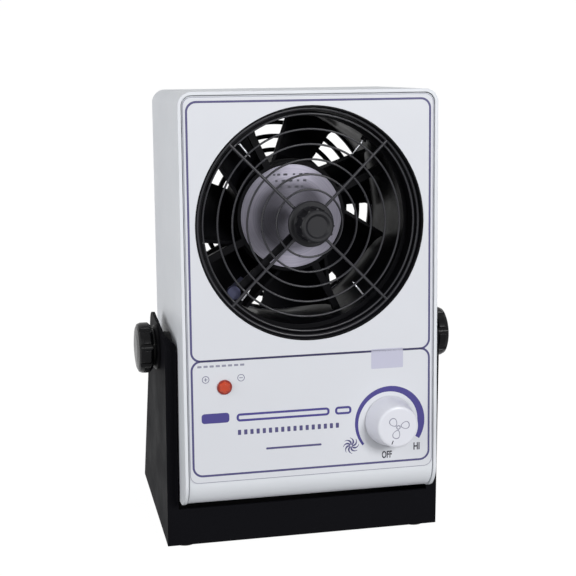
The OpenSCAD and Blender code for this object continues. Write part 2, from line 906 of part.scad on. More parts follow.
module fan_label() {
  color("silver") at_fan() rod_y(base_r - 2, fan_front - 0.2, fan_front);
}

module each_fan_hole() {
  for (sx = [-1, 1], sz = [-1, 1])
    translate([sx * fan_hole_pitch / 2, 0, sz * fan_hole_pitch / 2]) children();
}

module rear_guard() {
  color(black) at_fan() difference() {
    union() {
      for (i = [0 : guard_rings - 1]) let (r = guard_first + i * guard_pitch)
        tube_y(r + guard_bar / 2, r - guard_bar / 2, rear_out, rear_out + guard_t);
      for (i = [0 : 3]) {
        guard_rib(guard_turn + i * 90, guard_first, guard_last);
        guard_rib(45 + i * 90, guard_last, fan_hole_pitch / sqrt(2));
      }
      each_fan_hole() rod_y(guard_eye_r, rear_out, rear_out + guard_t);
    }
    each_fan_hole() rod_y(fan_hole_r, 0, case_d * 2);
  }
}

module guard_rib(turn, r0, r1) {
  rotate([0, -turn, 0]) translate([r0, rear_out + guard_sink, -guard_bar / 2])
    cube([r1 - r0, guard_t - 2 * guard_sink, guard_bar]);
}

module fan_screws() {
  color("silver") at_fan() each_fan_hole()
    pan_screw(0, 0, rear_out + guard_t, fan_back - fan_flange_t - fan_nut_t - 2,
      fan_screw_r, fan_head_r, fan_head_t);
}

module fan_nuts() {
  nut_back = fan_back - fan_flange_t;
  color("silver") at_fan() each_fan_hole() difference() {
    rod_y(fan_nut_r, nut_back - fan_nut_t, nut_back, 6);
    rod_y(fan_screw_r + slip / 5, 0, case_d);
  }
}

// ---- controls ----

module control_board() {
  color("darkgreen") in_case() difference() {
    translate([board_x, board_y, board_z]) cube([board_w, board_t, board_h]);
    for (z = board_post_z()) translate([board_x + post_inset, 0, z])
      rod_y(screw_r + slip, 0, case_d);
  }
}

module board_parts() {
  back = board_y + board_t;
  choke = [14, 9, 18];
  relay = [16, 12, 10];
  cap_r = 5;
  cap_l = 14;
  edge = 4;
  color("dimgray") in_case() {
    translate([board_x + 2 * post_inset, back, board_z + edge]) cube(choke);
    translate([board_x + 2 * post_inset + choke.x / 2, 0, board_z + board_h - cap_r - edge])
      rod_y(cap_r, back, back + cap_l);
    translate([board_x + board_w - relay.x - edge, back, board_z + board_h - relay.z - edge])
      cube(relay);
  }
}

module board_screws() {
  color("silver") in_case() for (z = board_post_z())
    pan_screw(board_x + post_inset, z, board_y + board_t, pocket + 2, screw_r,
      screw_head_r, screw_head_t);
}

module at_dial() {
  in_case() translate([dial_x, 0, dial_z]) children();
}

module potentiometer() {
  color("dimgray") at_dial() difference() {
    union() {
      rod_y(pot_r, pot_y, board_y);
      rod_y(bushing_r, overlay_y - nut_t - 0.5, pot_y + cut);
      rod_y(bushing_r + 1.5, pocket, pot_y + cut);
    }
    rod_y(pot_shaft_r + run_fit, -case_d, pot_y + 4);
  }
}

module pot_shaft() {
  color("silver") at_dial() rod_y(pot_shaft_r, shaft_front_y + slip, pot_y + 3.5);
}

module pot_nut() {
  color("silver") at_dial() difference() {
    rod_y(nut_r, overlay_y - nut_t, overlay_y, 6);
    rod_y(bushing_r + slip / 5, -case_d, case_d);
  }
}

module speed_dial() {
  y0 = dial_back_y;
  y1 = dial_front_y;
  color(white) at_dial() turn_y() polygon([[pot_shaft_r + slip / 5, y1 + dial_face_t],
    [0, y1 + dial_face_t], [0, y1], [dial_face_r - dial_edge, y1], [dial_face_r - dial_edge * 0.3,
    y1 + dial_edge * 0.3], [dial_face_r, y1 + dial_edge], [dial_base_r, y0],
    [dial_base_r - dial_wall, y0], [dial_face_r - dial_wall, y1 + dial_face_t],
    [dial_boss_r, y1 + dial_face_t], [dial_boss_r, overlay_y - nut_t - 1],
    [pot_shaft_r + slip / 5, overlay_y - nut_t - 1]]);
}

module at_lamp() {
  in_case() translate([-lamp_x, 0, lamp_z]) children();
}

module indicator_lens() {
  color("orangered") at_lamp() {
    rod_y(lamp_stem_r, overlay_y, lamp_stem_y);
    turn_y() polygon([[0, overlay_y], [lamp_r, overlay_y], [lamp_r, overlay_y - 0.9],
      [lamp_r * 0.85, overlay_y - 1.8], [lamp_r * 0.5, overlay_y - 2.4],
      [0, overlay_y - 2.6]]);
  }
}

module indicator_body() {
  color("dimgray") at_lamp() difference() {
    rod_y(lamp_body_r, pocket, pocket + lamp_body_l);
    rod_y(lamp_stem_r + slip, 0, lamp_stem_y);
  }
}

// ---- high voltage ----

module hv_module() {
  color("dimgray") in_case() {
    translate([hv_x, hv_y, pocket]) cube([hv_w, hv_d, hv_h]);
    translate([-lead_x, bus_mid, pocket + hv_h / 2])
      cylinder(r = hv_tower_r, h = hv_h / 2 + hv_tower_h);
  }
}

// Lead that rises straight from the module's tower to the bus ring
module hv_lead() {
  z0 = pocket + hv_h + hv_tower_h;
  z1 = fan_z - sqrt(pow(emitter_out_r, 2) - pow(lead_x - lead_r, 2));
  color("crimson") in_case() translate([-lead_x, bus_mid, z0]) cylinder(r = lead_r, h = z1 - z0);
}

// ---- mains inlet and ground post ----

module at_inlet() {
  in_case() translate([-inlet_x, 0, rear_z]) children();
}

module inlet_body() {
  face = rear_out + inlet_flange_t;
  color(black) at_inlet() difference() {
    union() {
      along_y(rear_out, face) round_rect(inlet_flange_w, inlet_flange_h, inlet_corner);
      along_y(face - inlet_flange_t - inlet_depth, rear_out + slip)
        round_rect(inlet_w, inlet_h, inlet_corner);
    }
    along_y(face - recess_depth, face + cut) round_rect(recess_w, recess_h, inlet_corner - 1);
    each_pin() along_y(0, face) square([pin_w + slip, pin_h + slip], center = true);
    for (s = [-1, 1]) translate([s * inlet_pitch / 2, 0, 0]) rod_y(m3_r + 0.1, 0, face + cut);
  }
}

module each_pin() {
  for (i = [-1 : 1]) translate([i * pin_pitch, 0, i == 0 ? pin_drop / 2 : -pin_drop / 2])
    children();
}

module inlet_pins() {
  face = rear_out + inlet_flange_t;
  color("silver") at_inlet() each_pin() along_y(face - pin_back, face - 3)
    square([pin_w, pin_h], center = true);
}

module inlet_screws() {
  color("silver") at_inlet() for (s = [-1, 1])
    pan_screw(s * inlet_pitch / 2, 0, rear_out + inlet_flange_t, rear_in - 5, m3_r,
      screw_head_r + 0.2, screw_head_t);
}

module at_post() {
  in_case() translate([post_x, 0, rear_z]) children();
}

module ground_post() {
  color("goldenrod") at_post() {
    rod_y(post_r, rear_in, rear_out + post_out);
    rod_y(post_root_r, rear_in, rear_out + post_nut_t);
    rod_y(post_nut_r, rear_in - 2, rear_in);
  }
}

module ground_nut() {
  color("goldenrod") at_post() difference() {
    rod_y(post_nut_r, rear_out, rear_out + post_nut_t, 6);
    rod_y(post_root_r + slip / 5, 0, case_d * 2);
  }
}

stand_bracket();
foot_pads();
spacer(-1);  // spacer_left
spacer(1);  // spacer_right
knob(-1);  // knob_left
knob(1);  // knob_right
stud(-1);  // stud_left
stud(1);  // stud_right
disc(-1);  // disc_left
disc(1);  // disc_right
insert(-1);  // insert_left
insert(1);  // insert_right
case_shell();
front_panel();
front_overlay();
rear_panel();
panel_screws();
funnel_ring();
emitter_ring();
emitter_needles();
bus_ring();
front_grille();
cleaner_bush();
cleaner_knob();
cleaner_shaft();
cleaner_arm();
cleaner_brush();
fan_frame();
fan_spider();
fan_stator();
fan_bearings();
fan_rotor();
fan_shaft();
fan_label();
rear_guard();
fan_screws();
fan_nuts();
control_board();
board_parts();
board_screws();
potentiometer();
pot_shaft();
pot_nut();
speed_dial();
indicator_lens();
indicator_body();
hv_module();
hv_lead();
inlet_body();
inlet_pins();
inlet_screws();
ground_post();
ground_nut();
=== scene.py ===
"""Looks of the benchtop ionizing blower round its CAD frame.

It holds the finishes, the prints, the few modelled forms that stand for plainer solids, the
lights and the camera.
"""
import json
import math

import bmesh
import bpy
from mathutils import Matrix, Vector


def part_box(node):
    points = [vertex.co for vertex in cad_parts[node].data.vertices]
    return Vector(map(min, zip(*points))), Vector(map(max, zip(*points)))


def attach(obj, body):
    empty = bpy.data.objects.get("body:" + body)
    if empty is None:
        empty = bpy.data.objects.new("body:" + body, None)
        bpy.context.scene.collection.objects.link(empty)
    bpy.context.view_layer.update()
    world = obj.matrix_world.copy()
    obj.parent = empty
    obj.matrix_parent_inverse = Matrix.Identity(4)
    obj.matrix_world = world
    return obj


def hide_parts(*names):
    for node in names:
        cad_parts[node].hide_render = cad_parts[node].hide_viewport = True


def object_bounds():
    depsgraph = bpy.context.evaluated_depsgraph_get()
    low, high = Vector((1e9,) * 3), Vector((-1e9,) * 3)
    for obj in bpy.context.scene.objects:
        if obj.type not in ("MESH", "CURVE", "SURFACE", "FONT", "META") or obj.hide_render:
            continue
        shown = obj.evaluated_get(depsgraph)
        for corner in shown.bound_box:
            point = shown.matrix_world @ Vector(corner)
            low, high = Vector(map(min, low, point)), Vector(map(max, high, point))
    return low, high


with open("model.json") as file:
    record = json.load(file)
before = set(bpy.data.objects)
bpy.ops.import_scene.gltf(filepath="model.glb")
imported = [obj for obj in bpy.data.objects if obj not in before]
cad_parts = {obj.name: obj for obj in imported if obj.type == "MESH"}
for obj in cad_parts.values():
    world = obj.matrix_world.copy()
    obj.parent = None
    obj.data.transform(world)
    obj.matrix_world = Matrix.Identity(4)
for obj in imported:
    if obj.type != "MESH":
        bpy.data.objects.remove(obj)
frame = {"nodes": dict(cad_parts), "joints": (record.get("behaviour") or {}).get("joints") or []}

CAD_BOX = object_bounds()
NODES = frame["nodes"]
JOINTS = {j["name"]: j for j in frame["joints"]}
MM = 0.001
INK_LIFT = 0.04 * MM

# ---------------------------------------------------------------- case space
# The case leans in its stand. Its own axes are x, depth (front to rear) and rise.

PIVOT = Vector(JOINTS["case_tilt"]["pos_m"])
DEPTH = Vector(JOINTS["fan_spin"]["axis"]).normalized()
RISE = Vector((1, 0, 0)).cross(DEPTH).normalized()
CASE = Matrix((
    (1, 0, 0, PIVOT.x),
    (0, DEPTH.y, RISE.y, PIVOT.y),
    (0, DEPTH.z, RISE.z, PIVOT.z),
    (0, 0, 0, 1),
))
TO_CASE = CASE.inverted()


def case_box(node):
    """Lowest and highest x, depth and rise of a CAD node, in the case's own space."""
    points = [TO_CASE @ v.co for v in NODES[node].data.vertices]
    low = Vector(min(p[i] for p in points) for i in range(3))
    high = Vector(max(p[i] for p in points) for i in range(3))
    return low, high


OVERLAY_LOW, OVERLAY_HIGH = case_box("front_overlay")
DIAL_LOW, DIAL_HIGH = case_box("speed_dial")
LENS_LOW, LENS_HIGH = case_box("indicator_lens")
FACE = OVERLAY_LOW.y


# ---------------------------------------------------------------- materials

def linear(r, g, b):
    """An sRGB colour from 0 to 255 as linear light, with alpha."""
    def one(c):
        c = c / 255
        return c / 12.92 if c <= 0.04045 else ((c + 0.055) / 1.055) ** 2.4
    return (one(r), one(g), one(b), 1.0)


def mixed(a, b, t):
    """The colour a share t of the way from a to b."""
    return tuple(x + (y - x) * t for x, y in zip(a, b))


class Shader:
    """A node material with short calls for the nodes that every finish here uses."""

    def __init__(self, name):
        self.mat = bpy.data.materials.new(name)
        self.mat.use_nodes = True
        self.nodes = self.mat.node_tree.nodes
        self.links = self.mat.node_tree.links
        self.bsdf = self.nodes["Principled BSDF"]
        self.coords = self.nodes.new("ShaderNodeTexCoord").outputs["Object"]

    def join(self, a, b):
        self.links.new(a, b)

    def noise(self, scale, detail=3.0, rough=0.55, stretch=None):
        node = self.nodes.new("ShaderNodeTexNoise")
        node.inputs["Scale"].default_value = scale
        node.inputs["Detail"].default_value = detail
        node.inputs["Roughness"].default_value = rough
        source = self.coords
        if stretch:
            mapping = self.nodes.new("ShaderNodeMapping")
            mapping.inputs["Scale"].default_value = stretch
            self.join(source, mapping.inputs["Vector"])
            source = mapping.outputs["Vector"]
        self.join(source, node.inputs["Vector"])
        return node.outputs["Fac"]

    def span(self, value, low, high, start=0.3, end=0.7):
        node = self.nodes.new("ShaderNodeMapRange")
        node.inputs["From Min"].default_value = start
        node.inputs["From Max"].default_value = end
        node.inputs["To Min"].default_value = low
        node.inputs["To Max"].default_value = high
        self.join(value, node.inputs["Value"])
        return node.outputs["Result"]

    def blend(self, factor, a, b):
        """Colours a to b by a factor socket; each is a tuple or a socket."""
        node = self.nodes.new("ShaderNodeMix")
        node.data_type = "RGBA"
        for socket, value in ((node.inputs[6], a), (node.inputs[7], b)):
            if isinstance(value, tuple):
                socket.default_value = value
            else:
                self.join(value, socket)
        self.join(factor, node.inputs[0])
        return node.outputs[2]

    def soft_edges(self, radius):
        """Edges rounded by the shader, as moulding and paint leave them."""
        node = self.nodes.new("ShaderNodeBevel")
        node.samples = 6
        node.inputs["Radius"].default_value = radius
        return node.outputs["Normal"]

    def bump(self, height, strength, distance, normal=None):
        node = self.nodes.new("ShaderNodeBump")
        node.inputs["Strength"].default_value = strength
        node.inputs["Distance"].default_value = distance
        self.join(height, node.inputs["Height"])
        if normal:
            self.join(normal, node.inputs["Normal"])
        self.join(node.outputs["Normal"], self.bsdf.inputs["Normal"])


def finish(name, colour, rough, metal=0.0, grain=900.0, depth=0.02, vary=0.06,
           edge=0.3, cloud=22.0, coat=0.0, spec=0.5):
    """A moulded, painted or metal finish: clouded colour, uneven gloss, fine grain, soft edges."""
    s = Shader(name)
    cloud_value = s.noise(cloud, 4.0)
    dark = mixed(colour, (0, 0, 0, 1), vary)
    light = tuple(min(1.0, c * (1 + vary * 0.6)) for c in colour[:3]) + (1.0,)
    s.join(s.blend(s.span(cloud_value, 0.0, 1.0), dark, light), s.bsdf.inputs["Base Color"])
    smudge = s.noise(cloud * 3.1, 5.0, 0.62)
    s.join(s.span(smudge, rough * 0.85, min(1.0, rough * 1.2)), s.bsdf.inputs["Roughness"])
    s.bsdf.inputs["Metallic"].default_value = metal
    s.bsdf.inputs["Specular IOR Level"].default_value = spec
    s.bsdf.inputs["Coat Weight"].default_value = coat
    s.bsdf.inputs["Coat Roughness"].default_value = 0.12
    s.bump(s.noise(grain, 2.0), 0.5, depth * MM, s.soft_edges(edge * MM))
    return s.mat


def brushed(name, colour, rough, along=(1, 1, 1)):
    """Metal with fine lines along one direction."""
    s = Shader(name)
    lines = s.noise(700.0, 3.0, 0.6, along)
    s.join(s.blend(s.span(lines, 0.0, 1.0), mixed(colour, (0, 0, 0, 1), 0.18), colour),
           s.bsdf.inputs["Base Color"])
    s.join(s.span(lines, rough * 0.7, rough * 1.4), s.bsdf.inputs["Roughness"])
    s.bsdf.inputs["Metallic"].default_value = 1.0
    s.bump(lines, 0.25, 0.02 * MM, s.soft_edges(0.2 * MM))
    return s.mat


def turned(name, colour, rough, joint):
    """Metal with fine rings round a joint's axis, which light up as a bow tie, and a painted
    shadow of the cleaner knob that darkens its middle.
    """
    s = Shader(name)
    away = s.nodes.new("ShaderNodeVectorMath")
    away.operation = "SUBTRACT"
    away.inputs[1].default_value = joint["pos_m"]
    s.join(s.coords, away.inputs[0])
    across = s.nodes.new("ShaderNodeVectorMath")
    across.operation = "CROSS_PRODUCT"
    across.inputs[1].default_value = joint["axis"]
    s.join(away.outputs[0], across.inputs[0])
    size = s.nodes.new("ShaderNodeVectorMath")
    size.operation = "LENGTH"
    s.join(across.outputs[0], size.inputs[0])
    to_world = s.nodes.new("ShaderNodeVectorTransform")
    to_world.vector_type = "VECTOR"
    to_world.convert_from = "OBJECT"
    to_world.convert_to = "WORLD"
    s.join(across.outputs[0], to_world.inputs[0])
    s.join(to_world.outputs[0], s.bsdf.inputs["Tangent"])
    rings = s.nodes.new("ShaderNodeTexNoise")
    rings.noise_dimensions = "1D"
    rings.inputs["Scale"].default_value = 2600.0
    s.join(size.outputs["Value"], rings.inputs["W"])
    lined = s.blend(s.span(rings.outputs["Fac"], 0.0, 1.0), mixed(colour, (0, 0, 0, 1), 0.25),
                    colour)
    # Painted shadow of the cleaner knob: the disc's middle is darkened towards black out to 17 mm
    # and fades out by 22 mm.
    painted_shadow, shade_end, shade_gone = 0.62, 17 * MM, 22 * MM
    inner = s.span(size.outputs["Value"], painted_shadow, 0.0, shade_end, shade_gone)
    s.join(s.blend(inner, lined, (0, 0, 0, 1)), s.bsdf.inputs["Base Color"])
    s.join(s.span(s.noise(90.0, 4.0), rough * 0.8, rough * 1.3), s.bsdf.inputs["Roughness"])
    s.bsdf.inputs["Metallic"].default_value = 1.0
    s.bsdf.inputs["Anisotropic"].default_value = 0.6
    s.bsdf.inputs["Anisotropic Rotation"].default_value = 0.25
    return s.mat


def lamp_finish(name, colour, glow):
    """Tinted translucent moulding with a lamp behind it."""
    s = Shader(name)
    depth_value = s.noise(260.0, 3.0)
    tint = s.blend(s.span(depth_value, 0.0, 1.0), mixed(colour, (0, 0, 0, 1), 0.15), colour)
    s.join(tint, s.bsdf.inputs["Base Color"])
    s.join(tint, s.bsdf.inputs["Emission Color"])
    s.bsdf.inputs["Emission Strength"].default_value = glow
    s.bsdf.inputs["Roughness"].default_value = 0.18
    s.bsdf.inputs["Specular IOR Level"].default_value = 0.3
    s.bsdf.inputs["Coat Weight"].default_value = 0.25
    s.bump(depth_value, 0.1, 0.02 * MM, s.soft_edges(0.1 * MM))
    return s.mat


# Colours are as they look in even light; blacks keep little gloss, as the backdrop is white.

WHITE = finish("case_white", linear(225, 228, 232), 0.42, grain=650.0, depth=0.015, vary=0.02,
               edge=0.5, coat=0.03, spec=0.12)
LILAC = finish("panel_lilac", linear(215, 217, 222), 0.42, grain=1200.0, depth=0.006, vary=0.02,
               edge=0.1, cloud=9.0, coat=0.05, spec=0.3)
DIAL_WHITE = finish("dial_white", linear(221, 222, 229), 0.36, grain=800.0, depth=0.01,
                    vary=0.02, edge=0.6, coat=0.2)
REAR_GREY = finish("rear_grey", linear(196, 198, 205), 0.45, grain=700.0, depth=0.03, vary=0.03)
STAND_BLACK = finish("stand_black", linear(20, 20, 23), 0.46, grain=420.0, depth=0.05,
                     vary=0.06, edge=0.7, cloud=9.0, spec=0.008)
PLASTIC_BLACK = finish("plastic_black", linear(13, 13, 16), 0.38, grain=900.0, depth=0.02,
                       vary=0.2, spec=0.06)
GLOSS_BLACK = finish("gloss_black", linear(7, 7, 9), 0.24, grain=500.0, depth=0.006,
                     vary=0.2, edge=0.7, coat=0.02, spec=0.12)
ROTOR_BLACK = finish("rotor_black", linear(14, 14, 17), 0.42, grain=900.0, depth=0.02,
                     vary=0.2, spec=0.05)
KNOB_BLACK = finish("knob_black", linear(24, 24, 28), 0.40, grain=900.0, depth=0.02,
                    vary=0.15, spec=0.22)
WIRE_BLACK = finish("wire_black", linear(38, 38, 43), 0.30, grain=900.0, depth=0.01,
                    vary=0.15, spec=0.35)
RUBBER = finish("rubber", linear(24, 24, 25), 0.75, grain=500.0, depth=0.05, vary=0.2)
NYLON = finish("nylon", linear(212, 206, 190), 0.5)
BRUSH_BLUE = finish("brush_blue", linear(40, 43, 74), 0.6, grain=300.0, depth=0.1, vary=0.25)
BOARD = finish("board_green", linear(30, 92, 52), 0.4, vary=0.2)
DARK_PARTS = finish("dark_parts", linear(48, 48, 52), 0.5, vary=0.2)
VARNISH = finish("varnish", linear(96, 58, 38), 0.4, metal=0.4, vary=0.3)
LEAD_RED = finish("lead_red", linear(170, 30, 28), 0.5)
STEEL = brushed("steel", linear(196, 198, 203), 0.28, (1, 8, 1))
BRASS = brushed("brass", linear(205, 168, 96), 0.3, (1, 6, 1))
# The foil's darkened middle is a painted shadow of the cleaner knob.
FOIL = turned("foil", linear(122, 120, 131), 0.40, JOINTS["fan_spin"])
PURPLE = finish("print_purple", linear(68, 62, 130), 0.5, grain=1500.0, depth=0.004,
                vary=0.06, spec=0.35)
INDIGO = finish("print_indigo", linear(70, 66, 112), 0.5, grain=1500.0, depth=0.004, vary=0.08)
INK = finish("print_ink", linear(38, 37, 50), 0.5, grain=1500.0, depth=0.004, vary=0.08)
# Faint grey ink for prints, also used for the painted groove shade round the overlay.
FAINT = finish("faint_print_and_groove_shade", linear(140, 141, 157), 0.5, grain=1500.0, depth=0.004, vary=0.05)
PALE = finish("print_pale", linear(188, 188, 206), 0.45, grain=1200.0, depth=0.004, vary=0.02)
LAMP = lamp_finish("lamp_orange", linear(190, 62, 26), 0.06)
LAMP_RIM = lamp_finish("lamp_rim", linear(140, 34, 20), 0.04)

NODE_FINISH = {
    "case_shell": WHITE, "front_panel": WHITE, "front_overlay": LILAC,
    "rear_panel": REAR_GREY, "speed_dial": DIAL_WHITE, "stand_bracket": STAND_BLACK,
    "foot_pads": RUBBER, "spacer_left": RUBBER, "spacer_right": RUBBER,
    "knob_left": GLOSS_BLACK, "knob_right": GLOSS_BLACK,
    "disc_left": PLASTIC_BLACK, "disc_right": PLASTIC_BLACK,
    "stud_left": STEEL, "stud_right": STEEL, "insert_left": BRASS, "insert_right": BRASS,
    "panel_screws": STEEL, "funnel_ring": PLASTIC_BLACK, "emitter_ring": PLASTIC_BLACK,
    "emitter_needles": STEEL, "bus_ring": BRASS, "front_grille": WIRE_BLACK,
    "cleaner_bush": NYLON, "cleaner_knob": KNOB_BLACK, "cleaner_shaft": STEEL,
    "cleaner_arm": PLASTIC_BLACK, "cleaner_brush": BRUSH_BLUE, "fan_frame": PLASTIC_BLACK,
    "fan_spider": ROTOR_BLACK,
    "fan_stator": VARNISH, "fan_bearings": STEEL, "fan_rotor": ROTOR_BLACK,
    "fan_shaft": STEEL, "fan_label": FOIL, "rear_guard": PLASTIC_BLACK, "fan_screws": STEEL,
    "fan_nuts": STEEL, "control_board": BOARD, "board_parts": DARK_PARTS,
    "board_screws": STEEL, "potentiometer": DARK_PARTS, "pot_shaft": STEEL,
    "pot_nut": STEEL, "indicator_lens": LAMP, "indicator_body": DARK_PARTS,
    "hv_module": DARK_PARTS, "hv_lead": LEAD_RED, "inlet_body": PLASTIC_BLACK,
    "inlet_pins": BRASS, "inlet_screws": STEEL, "ground_post": BRASS, "ground_nut": BRASS,
}


def dress_nodes():
    """Every CAD node gets its finish, also those that a modelled form stands for."""
    for name, obj in NODES.items():
        obj.data.materials.clear()
        obj.data.materials.append(NODE_FINISH[name])


def placed(name, mesh, *materials):
    """A mesh as an object in the scene, with its materials."""
    obj = bpy.data.objects.new(name, mesh)
    bpy.context.scene.collection.objects.link(obj)
    for material in materials:
        mesh.materials.append(material)
    return obj


def meshed(name, bm):
    """A bmesh as a mesh whose faces all look outwards."""
    bmesh.ops.recalc_face_normals(bm, faces=bm.faces)
    mesh = bpy.data.meshes.new(name)
    bm.to_mesh(mesh)
    bm.free()
    return mesh


def middle_of(low, high):
    """Middle of a node's front, as x and rise."""
    return (low.x + high.x) / 2, (low.z + high.z) / 2


DIAL_X, DIAL_Z = middle_of(DIAL_LOW, DIAL_HIGH)
LENS_X, LENS_Z = middle_of(LENS_LOW, LENS_HIGH)


# ---------------------------------------------------------------- flat prints

class Print:
    """Thin ink shapes on a flat of the case, gathered into one mesh; one of them is a line of
    painted groove shade.
    """

    def __init__(self, depth, lift=INK_LIFT):
        self.bm = bmesh.new()
        self.depth = depth - lift

    def point(self, x, z):
        return self.bm.verts.new(CASE @ Vector((x, self.depth, z)))

    def face(self, points):
        self.bm.faces.new([self.point(*p) for p in points])

    def band(self, outer, inner, closed=True):
        """A strip between two lines of as many points each."""
        a = [self.point(*p) for p in outer]
        b = [self.point(*p) for p in inner]
        count = len(a)
        for i in range(count if closed else count - 1):
            k = (i + 1) % count
            self.bm.faces.new((a[i], a[k], b[k], b[i]))

    def ring(self, x, z, radius, width, steps):
        turn = [2 * math.pi * i / steps for i in range(steps)]
        self.band([(x + radius * math.cos(t), z + radius * math.sin(t)) for t in turn],
                  [(x + (radius - width) * math.cos(t), z + (radius - width) * math.sin(t))
                   for t in turn])

    def bar(self, x, z, width, height):
        """A rectangle about its middle."""
        w, h = width / 2, height / 2
        self.face([(x - w, z - h), (x + w, z - h), (x + w, z + h), (x - w, z + h)])

    def frame(self, low, high, radius, width):
        """The outline of a rounded rectangle, as wide as given."""
        self.band(rounded(low, high, radius),
                  rounded((low[0] + width, low[1] + width), (high[0] - width, high[1] - width),
                          radius - width))

    def done(self, name, material, body="housing"):
        obj = placed(name, meshed(name, self.bm), material)
        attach(obj, body)


def rounded(low, high, radius, steps=10):
    """Points round a rounded rectangle, corner by corner."""
    points = []
    corners = ((high[0] - radius, high[1] - radius, 0), (low[0] + radius, high[1] - radius, 90),
               (low[0] + radius, low[1] + radius, 180), (high[0] - radius, low[1] + radius, 270))
    for cx, cz, start in corners:
        for i in range(steps + 1):
            a = math.radians(start + 90 * i / steps)
            points.append((cx + radius * math.cos(a), cz + radius * math.sin(a)))
    return points


def print_frames():
    """Two rounded frames that share the line between fan and controls, and a faint grey line along
    the overlay's edge that is painted shade of the groove between lip and overlay.
    """
    line, corner = 1.1 * MM, 5.5 * MM
    side, below, above = 1.35 * MM, 3.3 * MM, 2.0 * MM
    shared = -0.9 * MM
    low = (OVERLAY_LOW.x + side, OVERLAY_LOW.z + below)
    high = (OVERLAY_HIGH.x - side, OVERLAY_HIGH.z - above)
    p = Print(FACE)
    p.frame((low[0], shared - line / 2), high, corner, line)
    p.frame(low, (high[0], shared + line / 2), corner, line)
    p.done("print_frames", INDIGO)

    # Painted shade: a thin grey line just inside the overlay's edge stands in for the shadow in
    # the groove between the case's lip and the overlay.
    inset, edge_corner, edge_line = 0.05 * MM, 4.5 * MM, 0.3 * MM
    p = Print(FACE, 0.02 * MM)
    p.frame((OVERLAY_LOW.x + inset, OVERLAY_LOW.z + inset),
            (OVERLAY_HIGH.x - inset, OVERLAY_HIGH.z - inset), edge_corner, edge_line)
    p.done("painted_groove_shade", FAINT)


def print_crescent():
    """The speed arc: a line that swells all the way round to its blunt high end."""
    x, z = DIAL_X + 0.3 * MM, DIAL_Z - 0.6 * MM
    outer, thin, swell, growth = 19.4 * MM, 1.3, 3.1, 0.95
    blunt, blunt_run = 0.6, 3
    start, end, steps = 218, -32, 72
    p = Print(FACE)
    line_out, line_in = [], []
    for i in range(steps + 1):
        t = i / steps
        a = math.radians(start + (end - start) * t)
        thick = (thin + swell * t ** growth) * min(1.0, blunt + blunt_run * (1 - t)) * MM
        line_out.append((x + outer * math.cos(a), z + outer * math.sin(a)))
        line_in.append((x + (outer - thick) * math.cos(a), z + (outer - thick) * math.sin(a)))
    p.band(line_out, line_in, closed=False)
    p.done("print_crescent", PURPLE)


def print_swirl():
    """A small eight-bladed fan sign beside the low end of the arc."""
    cx, cz = DIAL_X - 21.3 * MM, DIAL_Z - 12.2 * MM
    blades, steps = 8, 7
    eye, reach, twist = 0.5, 3.9, 0.9
    thin, belly, widest = 0.5, 0.75, 0.42 * MM
    p = Print(FACE)
    for k in range(blades):
        base = 2 * math.pi * k / blades
        left, right = [], []
        for i in range(steps + 1):
            t = i / steps
            r = (eye + reach * t) * MM
            a = base + twist * t * t
            half = widest * (thin + math.sin(math.pi * min(t * 0.95, 1.0)) * belly)
            left.append((cx + r * math.cos(a) - half * math.sin(a),
                         cz + r * math.sin(a) + half * math.cos(a)))
            right.append((cx + r * math.cos(a) + half * math.sin(a),
                          cz + r * math.sin(a) - half * math.cos(a)))
        p.band(left, right, closed=False)
    p.done("print_swirl", INDIGO)


def print_signs():
    """Plus and minus in rings beside the lamp."""
    z = LENS_Z + 4.4 * MM
    radius, line, length = 1.9 * MM, 0.28 * MM, 1.9 * MM
    p = Print(FACE)
    for side, upright in ((-9.8 * MM, True), (8.8 * MM, False)):
        p.ring(LENS_X + side, z, radius, line, 32)
        p.bar(LENS_X + side, z, length, line)
        if upright:
            p.bar(LENS_X + side, z, line, length)
    p.done("print_signs", INDIGO)


def print_stripes():
    """A plain badge, stripes and dashes where a maker would put names, and a blank label.

    Places are in millimetres from the overlay's lower left corner.
    """
    left, base = OVERLAY_LOW.x, OVERLAY_LOW.z

    def pill(p, start, rise, length, height, radius=0.45):
        p.face(rounded((left + start * MM, base + rise * MM),
                       (left + (start + length) * MM, base + (rise + height) * MM),
                       height * radius * MM, 4))

    p = Print(FACE)
    badge_rise = 31.6
    pill(p, 6.6, badge_rise, 14.6, 5.2, 0.3)
    for start, length in ((25, 50), (78, 9)):
        p.frame((left + start * MM, base + badge_rise * MM),
                (left + (start + length) * MM, base + (badge_rise + 4.3) * MM),
                1.9 * MM, 1.2 * MM)
    p.done("print_badge", PURPLE)

    p = Print(FACE)
    dash_count, dash_pitch = 17, 3.3
    for k in range(dash_count):
        pill(p, 25.6 + dash_pitch * k, 24.5, 1.7, 2.7, 0.1)
    pill(p, 40.5, 15.6, 30, 1.1)
    p.done("print_dashes", INDIGO)

    p = Print(FACE)
    dot_count, dot_pitch = 8, 3.2
    for k in range(dot_count):
        pill(p, 4.9 + dot_pitch * k, 61.1, 2.2, 1.1, 0.2)
    p.done("print_dots", FAINT)

    p = Print(FACE)
    pill(p, 98.0, 55.0, 17.6, 10.6, 0.05)
    p.done("print_label", PALE)


def lettering(name, text, x, z, size, narrow):
    """Short dial lettering, flat on the overlay."""
    bold, lift = 0.16 * MM, 0.05 * MM
    curve = bpy.data.curves.new(name, "FONT")
    curve.body = text
    curve.size = size
    curve.align_x = "CENTER"
    curve.align_y = "CENTER"
    curve.offset = bold
    outline = bpy.data.objects.new(name, curve)
    bpy.context.scene.collection.objects.link(outline)
    mesh = bpy.data.meshes.new_from_object(outline)
    bpy.data.objects.remove(outline)
    for v in mesh.vertices:
        v.co = CASE @ Vector((x + v.co.x * narrow, FACE - lift, z + v.co.y))
    obj = placed(name, mesh, INK)
    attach(obj, "housing")


